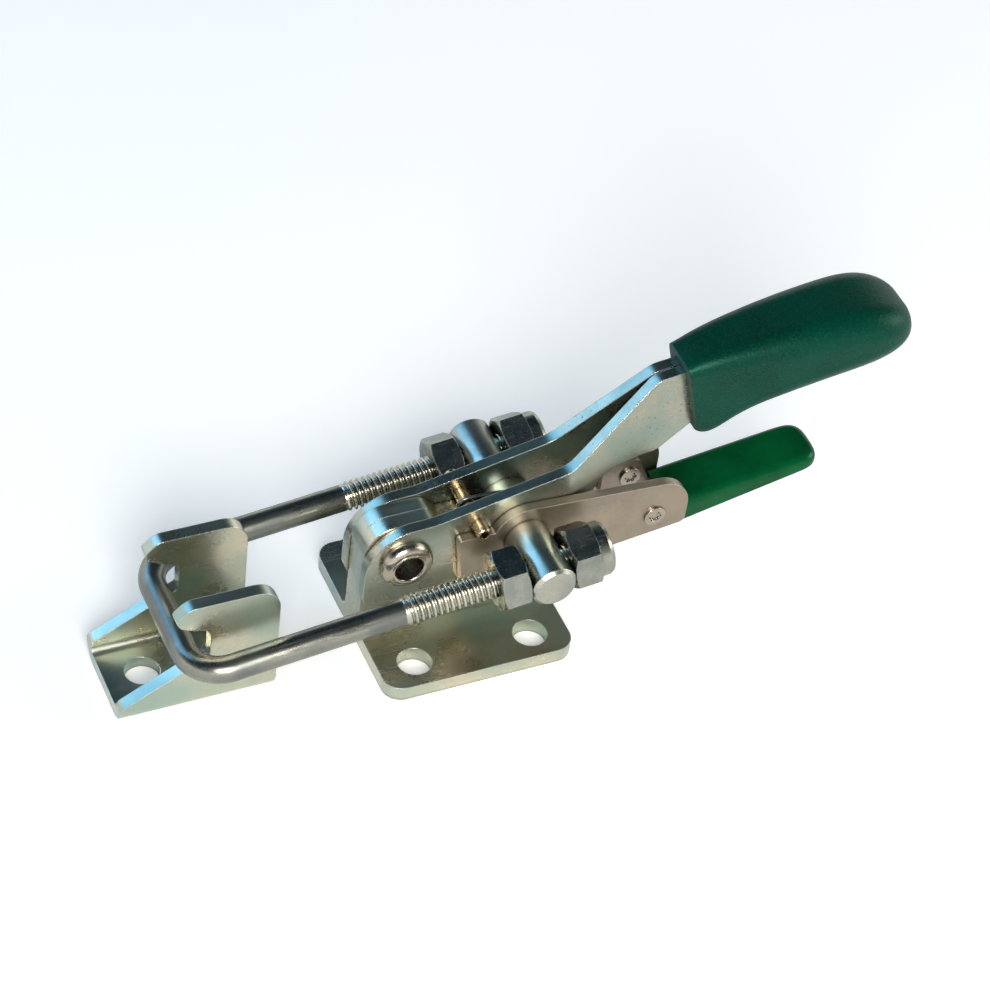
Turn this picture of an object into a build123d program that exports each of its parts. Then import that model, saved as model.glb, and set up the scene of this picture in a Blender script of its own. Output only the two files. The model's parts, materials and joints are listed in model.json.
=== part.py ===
from build123d import *
import math
import os

# Over centre toggle latch: hook, base and keeper in one frame.
# Units are millimetres. +X runs from the keeper to the grip, +Z is up, and
# the mounting plane is z = 0. The pieces are drawn with x = 0 under the handle
# pivot, in the plane midway between the two halves, and are written out with the
# origin at the centre of the four base holes. "near" is the -Y side, "far" the +Y side.

# ---------------------------------------------------------------- sheet metal
SHEET = 3.4            # base brackets
KEEPER_SHEET = 2.7
ARM_SHEET = 2.4        # handle arms
PLATE_SHEET = 2.0      # release plates
SIDE_GAP = 0.1         # running gap between neighbouring plates
RUN_FIT = 0.05         # radial clearance of a shaft that turns in its hole
SEAT_GAP = 0.05        # gap at a stop when the latch is closed

# ---------------------------------------------------------------- linkage
PIVOT_Z = 23.1         # handle pivot, straight above x = 0
TRUNNION_X = 25.0
TRUNNION_Z = 24.6
TRUNNION_R = 4.76
TRUNNION_LENGTH = 46.0
TRUNNION_CHAMFER = 0.7
BAR_X = -47.2          # centre of the hook's cross bar
BAR_Z = 16.0

# ---------------------------------------------------------------- base
BASE_FRONT_X = -8.0
BASE_LENGTH = 41.2
FLANGE_REACH = 21.2    # from the middle plane to the flange's edge
FLANGE_CORNER_R = 4.0
BEND_R = 1.8           # inside radius of the base and keeper folds
BASE_HOLE_R = 3.57
BASE_HOLE_X = -0.1
BASE_HOLE_PITCH_X = 25.4
BASE_HOLE_Y = 15.0
WALL_TOP_Z = 31.0
WALL_FRONT_R = 6.5
WALL_TOP_END_X = 6.0
WALL_CHAMFER_X = 9.6
WALL_DIP = 8.8         # depth of the wall's top edge below the trunnion's axis
WALL_REAR_TOP_Z = 9.5

# ---------------------------------------------------------------- pivot rivet
RIVET_R = 4.1
RIVET_BORE_R = 3.0
RIVET_HEAD_R = 5.6
RIVET_RING_R = 3.8     # crest of the rolled lip
RIVET_HEAD_H = 2.3

# ---------------------------------------------------------------- stop pin
PIN_X = 15.1
PIN_Z = 29.2
PIN_R = 1.5
PIN_BORE_R = 0.9
PIN_LENGTH = 18.2
PIN_SLIT = 0.5

# ---------------------------------------------------------------- handle arms
ARM_FRONT_X = -8.6
ARM_FRONT_TOP_Z = 31.1
ARM_FRONT_R = 10.5
ARM_HEEL_Z = 12.2
ARM_HEEL_R = 3.0
ARM_NECK_R = 5.0
ARM_FOLD_R = 8.0
ARM_NOSE_R = 20.0
ARM_BELLY_R = (6.0, 9.0, 12.0)   # rear, lowest and front corner of the belly
ARM_NOSE_TOP = (6.0, 31.6)
ARM_FOLD_TOP = (34.7, 37.9)
ARM_NECK_TOP = (53.0, 54.7)
ARM_TANG_TOP = (99.0, 60.5)
ARM_TANG_LOW = (97.0, 54.5)
ARM_TANG_STEP = (68.0, 49.0)
ARM_GRIP_LOW = (62.5, 41.6)
ARM_NECK_LOW = (54.5, 34.9)
ARM_BELLY_REAR = (43.0, 34.6)
ARM_BELLY_LOW = (33.0, 17.5)
ARM_BELLY_FRONT = (22.0, 14.6)
ARM_FOLD_X = 34.5      # first fold of the joggle
ARM_JOIN_X = 52.0      # second fold, where the arms run side by side
ARM_HALF_GAP = 0.15    # half the slit between the arms inside the grip

# ---------------------------------------------------------------- grip
GRIP_X = 60.0          # point on the grip's axis at its front face
GRIP_Z = 49.0
GRIP_ANGLE = 14.0
# distance along the axis, top, underside, half width, edge radius
GRIP_STATIONS = (
    (0.0, 9.3, -9.6, 5.2, 2.4),
    (3.5, 9.8, -11.0, 5.6, 2.8),
    (10.0, 9.8, -8.5, 6.7, 3.4),
    (18.0, 9.3, -7.5, 7.8, 4.2),
    (28.0, 8.2, -7.4, 8.9, 5.0),
    (38.0, 6.4, -7.5, 9.6, 5.4),
    (43.0, 4.6, -7.1, 9.2, 5.2),
    (46.6, 2.2, -6.2, 7.4, 4.0),
    (48.6, -0.4, -4.4, 4.0, 1.9),
)

# ---------------------------------------------------------------- hook
ROD_R = 2.75
THREAD_R = 3.1
LEG_HALF_PITCH = 16.5
HOOK_BEND_R = 7.5      # centre line radius of the two hook corners
THREAD_START = 30.0    # from the trunnion forward along a leg
LEG_TAIL = 14.0        # from the trunnion to the leg's rear end
ROD_CHAMFER = 0.6
CROSS_HOLE_R = 3.25
NUT_FLATS = 11.9
NUT_H = 5.9
NUT_FIT = 0.05         # radial gap between a nut and the thread's envelope
LOCK_NUT_HEX_H = 5.9
LOCK_NUT_H = 9.0
LOCK_NUT_TURN = 20.0
JAM_NUT_TURNS = (10.0, 26.0)
COLLAR_R = 5.6
INSERT_R = 4.5
INSERT_H = 2.0
INSERT_SINK = 0.4

# ---------------------------------------------------------------- spacer, spring
SPACER_R = 5.7
SPACER_LENGTH = 3.2
WIRE_R = 0.42
COIL_PITCH = 0.87
COIL_GAP = 0.3
COIL_SIDE_GAP = 0.15
COIL_START = -13.0     # where the wire meets and leaves the coil, degrees forward of its top
COIL_END = 1070.0
COIL_STEPS = 36
REAR_LEG_Y = -0.6
HOOK_ANGLES = (-8, 25, 58, 91, 118)

# ---------------------------------------------------------------- release lever
PLATE_EYE_R = 7.6      # rounding of the plate around the trunnion
PLATE_NOSE_X = 10.2
PLATE_NOSE_LOW = (12.4, 11.2)
PLATE_LOW_REAR = (61.3, 18.3)
PLATE_TOP_REAR = (61.3, 30.1)
PLATE_TOP_R = 7.0
PLATE_RIVET_X = 53.9
PLATE_RIVET_Z = 22.0
LEVER_HALF = 5.9
LEVER_FRONT_X = 58.5
LEVER_TIP_X = 93.2
LEVER_TOP_Z = 21.1     # dipped top surface at the lever's front edge
LEVER_SLOPE = 8.2
LEVER_TOP_R = 1.8
LEVER_DEPTH_FRONT = 5.8
LEVER_DEPTH_TIP = 2.6
DIP_T = 0.6
CORE_SHEET = 1.4
EAR_FRONT_X = 47.5
EAR_TOP_Z = 26.4
EAR_LOW_Z = 16.4
EAR_R = 3.0
STAR_HEAD_R = 2.3
STAR_HEAD_H = 0.5
STAR_SHANK_R = 1.6
STAR_SHOULDER_R = 3.0
STAR_LOBE_R = 0.45
STAR_RING_R = 0.95
STAR_DEPTH = 0.4

# ---------------------------------------------------------------- keeper
KEEPER_FRONT_X = -60.4
KEEPER_REAR_X = -28.2
KEEPER_HALF = 10.7
KEEPER_LIP_Z = 5.0     # height of the side wall at its front edge
RAMP_REAR_Z = 15.0     # height of the ramp where it meets the rear of the seat
SEAT_X = -45.65
SEAT_Z = 19.4
SEAT_R = 3.3
BEAK_LOW = (-48.6, 24.6)
BEAK_X = -49.8
BEAK_Z = 26.6
EAR_PEAK_X = -46.8
EAR_PEAK_Z = 29.4
EAR_REAR_R = 5.0
KEEPER_HOLE_R = 3.57
KEEPER_HOLE_X = -52.4
KEEPER_HOLE_PITCH = 16.0

# ---------------------------------------------------------------- derived
ARM_IN = SHEET + SIDE_GAP
ARM_OUT = ARM_IN + ARM_SHEET
PLATE_IN = ARM_OUT + SIDE_GAP
PLATE_OUT = PLATE_IN + PLATE_SHEET
BASE_REAR_X = BASE_FRONT_X + BASE_LENGTH
HOOK_REACH = math.hypot(TRUNNION_X - BAR_X, TRUNNION_Z - BAR_Z)
HOOK_ANGLE = math.degrees(math.atan2(TRUNNION_Z - BAR_Z, TRUNNION_X - BAR_X))
HOOK_FRAME = Pos(TRUNNION_X, 0, TRUNNION_Z) * Rot(0, -HOOK_ANGLE, 0)
STOP_Z = PIN_Z - PIN_R - SEAT_GAP
EAR_OUT = LEVER_HALF - DIP_T
EAR_IN = EAR_OUT - CORE_SHEET
COIL_R = TRUNNION_R + COIL_GAP + WIRE_R
ORIGIN_X = BASE_HOLE_X + BASE_HOLE_PITCH_X / 2


# ------------------------------------------------------------------ helpers
def outline(points, radii=()):
    """Closed outline in the XY plane; radii rounds the corners nearest the given points."""
    face = make_face(Polyline(*points, close=True)).face()
    for (x, y), radius in radii:
        corner = min(face.vertices(), key=lambda v: math.hypot(v.X - x, v.Y - y))
        face = face.fillet_2d(radius, [corner])
    return face


def across(face, y_from, y_to):
    """Extrude an outline given as (x, z) from one Y to another."""
    plane = Plane(origin=(0, y_to, 0), x_dir=(1, 0, 0), z_dir=(0, -1, 0))
    return extrude(plane * face, amount=y_to - y_from)


def lengthwise(face, x_from, x_to):
    """Extrude an outline given as (y, z) from one X to another."""
    plane = Plane(origin=(x_from, 0, 0), x_dir=(0, 1, 0), z_dir=(1, 0, 0))
    return extrude(plane * face, amount=x_to - x_from)


def rod_y(x, z, radius, y_from, y_to):
    """Cylinder along Y."""
    return across(Pos(x, z) * Circle(radius), y_from, y_to)


def far_copy(near):
    """The far half's mirror image of a near piece."""
    return mirror(near, about=Plane.XZ)


# ------------------------------------------------------------------ base
def wall_outline():
    """Upright wall: round front, flat top, chamfer, shoulder for the pin, sloping rear."""
    foot = -1.0
    shoulder_end = PIN_X + PIN_R + 0.5
    saddle_z = TRUNNION_Z - WALL_DIP
    points = (
        (BASE_FRONT_X, foot),
        (BASE_FRONT_X, WALL_TOP_Z),
        (WALL_TOP_END_X, WALL_TOP_Z),
        (WALL_CHAMFER_X, STOP_Z),
        (shoulder_end, STOP_Z),
        (shoulder_end + 1.6, saddle_z + 1.0),
        (TRUNNION_X + 1.0, saddle_z),
        (BASE_REAR_X, WALL_REAR_TOP_Z),
        (BASE_REAR_X, foot),
    )
    radii = (
        (points[1], WALL_FRONT_R),
        (points[2], 3.0),
        (points[4], 0.8),
        (points[5], 3.0),
        (points[6], 3.0),
        (points[7], 2.0),
    )
    return outline(points, radii)


def make_base_bracket():
    """Near base bracket: one folded angle with its flange outwards."""
    high = WALL_TOP_Z + 5
    corners = ((0, 0), (0, high), (-SHEET, high), (-SHEET, SHEET), (-FLANGE_REACH, SHEET), (-FLANGE_REACH, 0))
    section = outline(corners, ((corners[3], BEND_R), (corners[0], BEND_R + SHEET)))
    angle = lengthwise(section, BASE_FRONT_X, BASE_REAR_X)
    wall = across(wall_outline(), -SHEET - 0.01, 1)
    flange_w = FLANGE_REACH - SHEET
    flange = Pos((BASE_FRONT_X + BASE_REAR_X) / 2, -SHEET - flange_w / 2, SHEET) * Box(
        BASE_LENGTH, flange_w, 4 * SHEET)
    bracket = angle & (wall + flange)
    tips = bracket.edges().filter_by(Axis.Z).filter_by(lambda e: e.center().Y < 0.1 - FLANGE_REACH)
    bracket = fillet(tips, FLANGE_CORNER_R)
    for column in range(2):
        x = BASE_HOLE_X + column * BASE_HOLE_PITCH_X
        bracket -= Pos(x, -BASE_HOLE_Y, 0) * Cylinder(BASE_HOLE_R, 4 * SHEET)
    return bracket - rod_y(0, PIVOT_Z, RIVET_R, -2 * SHEET, SHEET)


def make_pivot_rivet():
    """Tubular rivet whose two heads are rolled over the handle arms."""
    seat = ARM_OUT
    crest = seat + RIVET_HEAD_H
    dome = ((RIVET_HEAD_R, seat + 0.4), (RIVET_HEAD_R - 0.35, seat + 1.4), (RIVET_RING_R, crest - 0.15))
    lip = (dome[2], ((RIVET_BORE_R + RIVET_RING_R) / 2, crest), (RIVET_BORE_R, crest - 0.5))
    half = make_face(
        Polyline(lip[2], (RIVET_BORE_R, 0), (RIVET_R, 0), (RIVET_R, seat), (RIVET_HEAD_R, seat), dome[0])
        + ThreePointArc(*dome) + ThreePointArc(*lip)
    )
    near_half = Pos(0, 0, PIVOT_Z) * revolve(half, Axis.Y)
    return near_half + far_copy(near_half)


# ------------------------------------------------------------------ handle
def arm_outline():
    """Side view of a handle arm, from its round nose to the tang in the grip."""
    points = (
        (ARM_FRONT_X, ARM_HEEL_Z),
        (ARM_FRONT_X, ARM_FRONT_TOP_Z),
        ARM_NOSE_TOP,
        ARM_FOLD_TOP,
        ARM_NECK_TOP,
        ARM_TANG_TOP,
        ARM_TANG_LOW,
        ARM_TANG_STEP,
        ARM_GRIP_LOW,
        ARM_NECK_LOW,
        ARM_BELLY_REAR,
        ARM_BELLY_LOW,
        ARM_BELLY_FRONT,
    )
    radii = (
        (ARM_NECK_TOP, ARM_NECK_R),
        (ARM_FOLD_TOP, ARM_FOLD_R),
        (points[1], ARM_FRONT_R),
        (ARM_NOSE_TOP, ARM_NOSE_R),
        (points[0], ARM_HEEL_R),
        (ARM_NECK_LOW, ARM_NECK_R),
        (ARM_BELLY_REAR, ARM_BELLY_R[0]),
        (ARM_BELLY_LOW, ARM_BELLY_R[1]),
        (ARM_BELLY_FRONT, ARM_BELLY_R[2]),
    )
    return outline(points, radii)


def joggled_sheet():
    """Near arm's sheet seen from above: flat, joggled inwards, then flat again."""
    start = ARM_FRONT_X - 1
    end = ARM_TANG_TOP[0] + 1
    step = ARM_IN - ARM_HALF_GAP
    lean = math.atan2(step, ARM_JOIN_X - ARM_FOLD_X)
    shift = ARM_SHEET * math.tan(lean / 2)
    inner = ((start, -ARM_IN), (ARM_FOLD_X, -ARM_IN), (ARM_JOIN_X, -ARM_HALF_GAP), (end, -ARM_HALF_GAP))
    outer = (
        (end, -ARM_HALF_GAP - ARM_SHEET),
        (ARM_JOIN_X + shift, -ARM_HALF_GAP - ARM_SHEET),
        (ARM_FOLD_X + shift, -ARM_OUT),
        (start, -ARM_OUT),
    )
    bends = ((inner[1], 5.0 + ARM_SHEET), (inner[2], 5.0), (outer[1], 5.0 + ARM_SHEET), (outer[2], 5.0))
    return extrude(outline(inner + outer, bends), amount=80)


def make_handle_arm():
    """Near handle arm, with holes for the pivot rivet, trunnion and stop pin."""
    arm = across(arm_outline(), -ARM_OUT - 1, 0) & joggled_sheet()
    arm -= rod_y(0, PIVOT_Z, RIVET_R + RUN_FIT, -ARM_OUT - 1, 0)
    arm -= rod_y(TRUNNION_X, TRUNNION_Z, TRUNNION_R + RUN_FIT, -ARM_OUT - 1, 0)
    return arm - rod_y(PIN_X, PIN_Z, PIN_R, -ARM_OUT - 1, 0)


def make_grip():
    """Moulded grip: rounded sections along a rising axis, slotted for both tangs."""
    angle = math.radians(GRIP_ANGLE)
    direction = Vector(math.cos(angle), 0, math.sin(angle))
    sections = []
    for reach, top, low, half, edge_r in GRIP_STATIONS:
        origin = Vector(GRIP_X, 0, GRIP_Z) + direction * reach
        plane = Plane(origin=origin, x_dir=(0, 1, 0), z_dir=direction)
        sections.append(plane * Pos(0, (top + low) / 2) * RectangleRounded(2 * half, top - low, edge_r))
    grip = loft(sections)
    tangs = across(arm_outline(), -ARM_HALF_GAP - ARM_SHEET, ARM_HALF_GAP + ARM_SHEET)
    return grip - tangs


def make_stop_pin():
    """Slotted spring pin pressed through both arms."""
    half = PIN_LENGTH / 2
    pin = rod_y(PIN_X, PIN_Z, PIN_R, -half, half)
    pin = chamfer(pin.edges().filter_by(GeomType.CIRCLE), 0.3)
    pin -= rod_y(PIN_X, PIN_Z, PIN_BORE_R, -half, half)
    slit = Pos(PIN_X + PIN_R, 0, PIN_Z) * Box(2 * PIN_R, PIN_LENGTH + 1, PIN_SLIT)
    return pin - slit


# ------------------------------------------------------------------ hook
def make_trunnion():
    """Cross bar that turns in the arms and carries both hook legs."""
    half = TRUNNION_LENGTH / 2
    bar = Rot(90, 0, 0) * Cylinder(TRUNNION_R, TRUNNION_LENGTH)
    bar = chamfer(bar.edges().filter_by(GeomType.CIRCLE), TRUNNION_CHAMFER)
    for side in (-1, 1):
        bar -= Pos(0, side * LEG_HALF_PITCH, 0) * Rot(0, 90, 0) * Cylinder(CROSS_HOLE_R, 2 * half)
    return HOOK_FRAME * bar


def make_u_bolt():
    """Hook bent from one rod, with a thread envelope along each leg."""
    y = LEG_HALF_PITCH
    path = FilletPolyline((LEG_TAIL, -y), (-HOOK_REACH, -y), (-HOOK_REACH, y), (LEG_TAIL, y),
                          radius=HOOK_BEND_R)
    section = Plane(origin=(LEG_TAIL, -y, 0), z_dir=(-1, 0, 0)) * Circle(ROD_R)
    hook = sweep(section, path)
    step = THREAD_R - ROD_R
    for side in (-1, 1):
        leg = make_face(Polyline(
            (-THREAD_START - step, 0), (-THREAD_START - step, ROD_R), (-THREAD_START, THREAD_R),
            (LEG_TAIL - ROD_CHAMFER, THREAD_R), (LEG_TAIL, THREAD_R - ROD_CHAMFER), (LEG_TAIL, 0), close=True))
        hook += Pos(0, side * y, 0) * revolve(leg, Axis.X)
    return HOOK_FRAME * hook


def hex_blank(height, turn):
    """Hexagon along +X from the origin, its front corners chamfered."""
    corner_r = NUT_FLATS / math.sqrt(3)
    flat_r = NUT_FLATS / 2
    ease = (corner_r - flat_r) * math.tan(math.radians(30))
    hexagon = RegularPolygon(flat_r, 6, major_radius=False, rotation=turn)
    blank = lengthwise(hexagon, 0, height)
    envelope = make_face(Polyline(
        (0, 0), (0, flat_r), (ease, corner_r), (height - ease, corner_r), (height, flat_r), (height, 0),
        close=True))
    return blank & revolve(envelope, Axis.X)


def make_jam_nut(side, turn):
    """Plain nut seated on the front of the trunnion."""
    nut = hex_blank(NUT_H, turn) - Rot(0, 90, 0) * Cylinder(THREAD_R + NUT_FIT, 4 * NUT_H)
    return HOOK_FRAME * Pos(-TRUNNION_R - NUT_H, side * LEG_HALF_PITCH, 0) * nut


def make_lock_nut(side):
    """Locking nut behind the trunnion: hexagon and round collar."""
    crown = make_face(Polyline(
        (0, 0), (0, COLLAR_R), (LOCK_NUT_H - 1.0, COLLAR_R), (LOCK_NUT_H - 0.3, COLLAR_R - 0.4),
        (LOCK_NUT_H, COLLAR_R - 1.0), (LOCK_NUT_H, 0), close=True))
    nut = hex_blank(LOCK_NUT_HEX_H, LOCK_NUT_TURN) + revolve(crown, Axis.X)
    nut -= Rot(0, 90, 0) * Cylinder(THREAD_R + NUT_FIT, 4 * LOCK_NUT_H)
    pocket_start = LOCK_NUT_H - INSERT_SINK - INSERT_H
    nut -= lengthwise(Circle(INSERT_R), pocket_start, LOCK_NUT_H + 1)
    return HOOK_FRAME * Pos(TRUNNION_R, side * LEG_HALF_PITCH, 0) * nut


def make_nylon_insert(side):
    """Nylon ring held in the locking nut's collar."""
    ring = Circle(INSERT_R) - Circle(THREAD_R)
    start = LOCK_NUT_H - INSERT_SINK - INSERT_H
    return HOOK_FRAME * Pos(TRUNNION_R, side * LEG_HALF_PITCH, 0) * lengthwise(ring, start, start + INSERT_H)


# ------------------------------------------------------------------ spacer, spring
def make_spacer():
    """Sleeve on the trunnion that fills the far part of the gap between the arms."""
    ring = Pos(TRUNNION_X, TRUNNION_Z) * (Circle(SPACER_R) - Circle(TRUNNION_R + RUN_FIT))
    return across(ring, ARM_IN - SPACER_LENGTH, ARM_IN)


def around(x, z, radius, angle, y):
    """Point on a circle round (x, z), at an angle forward from its top."""
    turn = math.radians(angle)
    return (x - radius * math.sin(turn), y, z + radius * math.cos(turn))


def make_return_spring():
    """Torsion spring: coil on the trunnion, one leg on the lever, one hooked over the pin."""
    y_near = -ARM_IN + WIRE_R + COIL_SIDE_GAP
    lever_top = LEVER_TOP_Z + 1.5 * math.tan(math.radians(LEVER_SLOPE))
    rest = Vector(LEVER_FRONT_X + 1.5, REAR_LEG_Y, lever_top + WIRE_R + SEAT_GAP)
    leave = Vector(*around(TRUNNION_X, TRUNNION_Z, COIL_R, COIL_START, y_near))
    points = [rest + (leave - rest) * (part / 4) for part in range(4)]
    for step in range(COIL_STEPS + 1):
        part = step / COIL_STEPS
        angle = COIL_START + part * (COIL_END - COIL_START)
        y = y_near + part * COIL_PITCH * (COIL_END - COIL_START) / 360
        points.append(Vector(*around(TRUNNION_X, TRUNNION_Z, COIL_R, angle, y)))
    hook_r = PIN_R + WIRE_R + SEAT_GAP
    for angle in HOOK_ANGLES:
        points.append(Vector(*around(PIN_X, PIN_Z, hook_r, angle, points[-1].Y + 0.08)))
    wire = Spline(*points)
    return sweep(Plane(origin=wire @ 0, z_dir=wire % 0) * Circle(WIRE_R), wire)


# ------------------------------------------------------------------ release lever
def make_release_plate():
    """Near release plate: nose under the pin, eye round the trunnion, straight tail."""
    eye_left = TRUNNION_X - math.sqrt(PLATE_EYE_R ** 2 - (TRUNNION_Z - STOP_Z) ** 2)
    eye_top = TRUNNION_Z + PLATE_EYE_R
    points = (
        (PLATE_NOSE_X, STOP_Z),
        PLATE_NOSE_LOW,
        PLATE_LOW_REAR,
        PLATE_TOP_REAR,
        (TRUNNION_X, eye_top),
        (TRUNNION_X, STOP_Z),
    )
    radii = (
        (points[0], 0.8),
        (points[1], 4.0),
        (points[2], 1.5),
        (points[3], PLATE_TOP_R),
    )
    body = outline(points, radii) + Pos(TRUNNION_X, TRUNNION_Z) * Circle(PLATE_EYE_R)
    corner = min(body.vertices(), key=lambda v: math.hypot(v.X - eye_left, v.Y - STOP_Z))
    body = body.face().fillet_2d(0.6, [corner])
    plate = across(body, -PLATE_OUT, -PLATE_IN)
    plate -= rod_y(TRUNNION_X, TRUNNION_Z, TRUNNION_R + RUN_FIT, -PLATE_OUT - 1, 0)
    return plate - rod_y(PLATE_RIVET_X, PLATE_RIVET_Z, STAR_SHANK_R, -PLATE_OUT - 1, 0)


def lever_block(inset, lift):
    """Outer form of the dipped lever, drawn in by inset and raised underneath by lift."""
    half = LEVER_HALF - inset
    tip = LEVER_TIP_X - inset
    rise = math.tan(math.radians(LEVER_SLOPE)) * (LEVER_TIP_X - LEVER_FRONT_X)
    top_front = LEVER_TOP_Z - inset
    top_tip = top_front + rise
    low_front = LEVER_TOP_Z - LEVER_DEPTH_FRONT + lift
    low_tip = LEVER_TOP_Z + rise - LEVER_DEPTH_TIP + lift
    points = (
        (LEVER_FRONT_X, low_front),
        (tip, min(low_tip, top_tip - 0.8)),
        (tip, top_tip),
        (LEVER_FRONT_X, top_front),
    )
    side_view = across(outline(points), -half, half)
    plan = Pos((LEVER_FRONT_X + tip) / 2 - half / 2, 0) * Rectangle(tip - LEVER_FRONT_X - half, 2 * half)
    plan += Pos(tip - half, 0) * Circle(half)
    block = side_view & extrude(plan, amount=60)
    slope = Vector(-math.sin(math.radians(LEVER_SLOPE)), 0, math.cos(math.radians(LEVER_SLOPE)))
    top = max(block.faces(), key=lambda f: f.center().dot(slope))
    rim = [e for e in top.edges() if abs(e.center().X - LEVER_FRONT_X) > 0.1]
    return fillet(rim, max(LEVER_TOP_R - inset, 0.3))


def lever_ears():
    """Two ears that carry the lever between the release plates."""
    points = (
        (EAR_FRONT_X, EAR_LOW_Z),
        (EAR_FRONT_X, EAR_TOP_Z),
        (LEVER_FRONT_X - 3.0, EAR_TOP_Z),
        (LEVER_FRONT_X, LEVER_TOP_Z - 2 * DIP_T),
        (LEVER_FRONT_X + 1.0, LEVER_TOP_Z - 2 * DIP_T),
        (LEVER_FRONT_X + 1.0, EAR_LOW_Z),
    )
    radii = ((points[0], EAR_R), (points[1], EAR_R), (points[2], 1.5))
    ear = across(outline(points, radii), -EAR_OUT, -EAR_IN)
    ear -= rod_y(PLATE_RIVET_X, PLATE_RIVET_Z, STAR_SHANK_R, -EAR_OUT - 1, 0)
    return ear + far_copy(ear)


def make_lever_core():
    """Pressed steel channel of the release lever, with its riveting ears."""
    channel = lever_block(DIP_T, DIP_T) - lever_block(DIP_T + CORE_SHEET, -5)
    return channel + lever_ears()


def make_lever_dip():
    """Vinyl coat dipped over the channel, inside and outside."""
    return lever_block(0, 0) - make_lever_core() - lever_block(2 * DIP_T + CORE_SHEET, -5)


def make_star_rivet():
    """Near rivet: star recess in its outer head, shoulder between plate and ear."""
    x, z = PLATE_RIVET_X, PLATE_RIVET_Z
    rivet = rod_y(x, z, STAR_SHANK_R, -PLATE_OUT, -EAR_IN)
    rivet += rod_y(x, z, STAR_HEAD_R, -PLATE_OUT - STAR_HEAD_H, -PLATE_OUT)
    rivet += rod_y(x, z, STAR_SHOULDER_R, -PLATE_IN, -EAR_OUT)
    rivet += rod_y(x, z, STAR_HEAD_R, -EAR_IN, -EAR_IN + STAR_HEAD_H)
    star = Pos(x, z) * Circle(STAR_RING_R)
    for lobe in range(6):
        angle = math.radians(60 * lobe)
        star += Pos(x + STAR_RING_R * math.cos(angle), z + STAR_RING_R * math.sin(angle)) * Circle(STAR_LOBE_R)
    head_y = -PLATE_OUT - STAR_HEAD_H
    rivet -= across(star, head_y, head_y + STAR_DEPTH)
    tail_y = -EAR_IN + STAR_HEAD_H
    return rivet - across(star, tail_y - STAR_DEPTH, tail_y)


# ------------------------------------------------------------------ keeper
def keeper_outline():
    """Side view of the keeper: ramp, lip, seat, beak and round rear corner."""
    seat_high = SEAT_Z + SEAT_R
    seat_rear = SEAT_X + SEAT_R
    points = (
        (KEEPER_FRONT_X, -1),
        (KEEPER_FRONT_X, KEEPER_LIP_Z),
        (seat_rear, RAMP_REAR_Z),
        (seat_rear, seat_high),
        (SEAT_X, seat_high + 0.4),
        BEAK_LOW,
        (BEAK_X, BEAK_Z),
        (EAR_PEAK_X, EAR_PEAK_Z),
        (KEEPER_REAR_X, EAR_PEAK_Z),
        (KEEPER_REAR_X, -1),
    )
    radii = (
        (points[1], 1.5),
        (points[2], 1.0),
        (points[3], 2.6),
        (points[4], 2.0),
        (points[5], 0.8),
        (points[6], 1.2),
        (points[7], 3.5),
        (points[8], EAR_REAR_R),
    )
    return outline(points, radii)


def make_keeper():
    """Keeper folded from one sheet: floor, two side walls and hooked ears."""
    inner = KEEPER_HALF - KEEPER_SHEET
    high = EAR_PEAK_Z + 5
    corners = (
        (-KEEPER_HALF, 0), (KEEPER_HALF, 0), (KEEPER_HALF, high), (inner, high),
        (inner, KEEPER_SHEET), (-inner, KEEPER_SHEET), (-inner, high), (-KEEPER_HALF, high),
    )
    radii = (
        (corners[0], BEND_R + KEEPER_SHEET),
        (corners[1], BEND_R + KEEPER_SHEET),
        (corners[4], BEND_R),
        (corners[5], BEND_R),
    )
    keeper = lengthwise(outline(corners, radii), KEEPER_FRONT_X, KEEPER_REAR_X)
    keeper &= across(keeper_outline(), -KEEPER_HALF - 1, KEEPER_HALF + 1)
    for hole in range(2):
        x = KEEPER_HOLE_X + hole * KEEPER_HOLE_PITCH
        keeper -= Pos(x, 0, 0) * Cylinder(KEEPER_HOLE_R, 4 * KEEPER_SHEET)
    return keeper


def build():
    """Every node of the latch, by name."""
    bracket = make_base_bracket()
    arm = make_handle_arm()
    plate = make_release_plate()
    star_rivet = make_star_rivet()
    nodes = {
        "base_bracket_near": bracket,
        "base_bracket_far": far_copy(bracket),
        "pivot_rivet": make_pivot_rivet(),
        "keeper": make_keeper(),
        "handle_arm_near": arm,
        "handle_arm_far": far_copy(arm),
        "grip": make_grip(),
        "stop_pin": make_stop_pin(),
        "trunnion_spacer": make_spacer(),
        "trunnion": make_trunnion(),
        "u_bolt": make_u_bolt(),
        "release_plate_near": plate,
        "release_plate_far": far_copy(plate),
        "lever_core": make_lever_core(),
        "lever_dip": make_lever_dip(),
        "star_rivet_near": star_rivet,
        "star_rivet_far": far_copy(star_rivet),
        "return_spring": make_return_spring(),
    }
    for name, side, jam_turn in zip(("near", "far"), (-1, 1), JAM_NUT_TURNS):
        nodes[f"jam_nut_{name}"] = make_jam_nut(side, jam_turn)
        nodes[f"lock_nut_{name}"] = make_lock_nut(side)
        nodes[f"nylon_insert_{name}"] = make_nylon_insert(side)
    return nodes


os.makedirs("parts", exist_ok=True)
for node, solid in build().items():
    export_step(Pos(-ORIGIN_X, 0, 0) * solid, f"parts/{node}.step")
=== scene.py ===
import json
import math

import bpy
from bpy.props import FloatProperty, FloatVectorProperty, IntProperty, PointerProperty
from mathutils import Matrix, Vector


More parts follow.
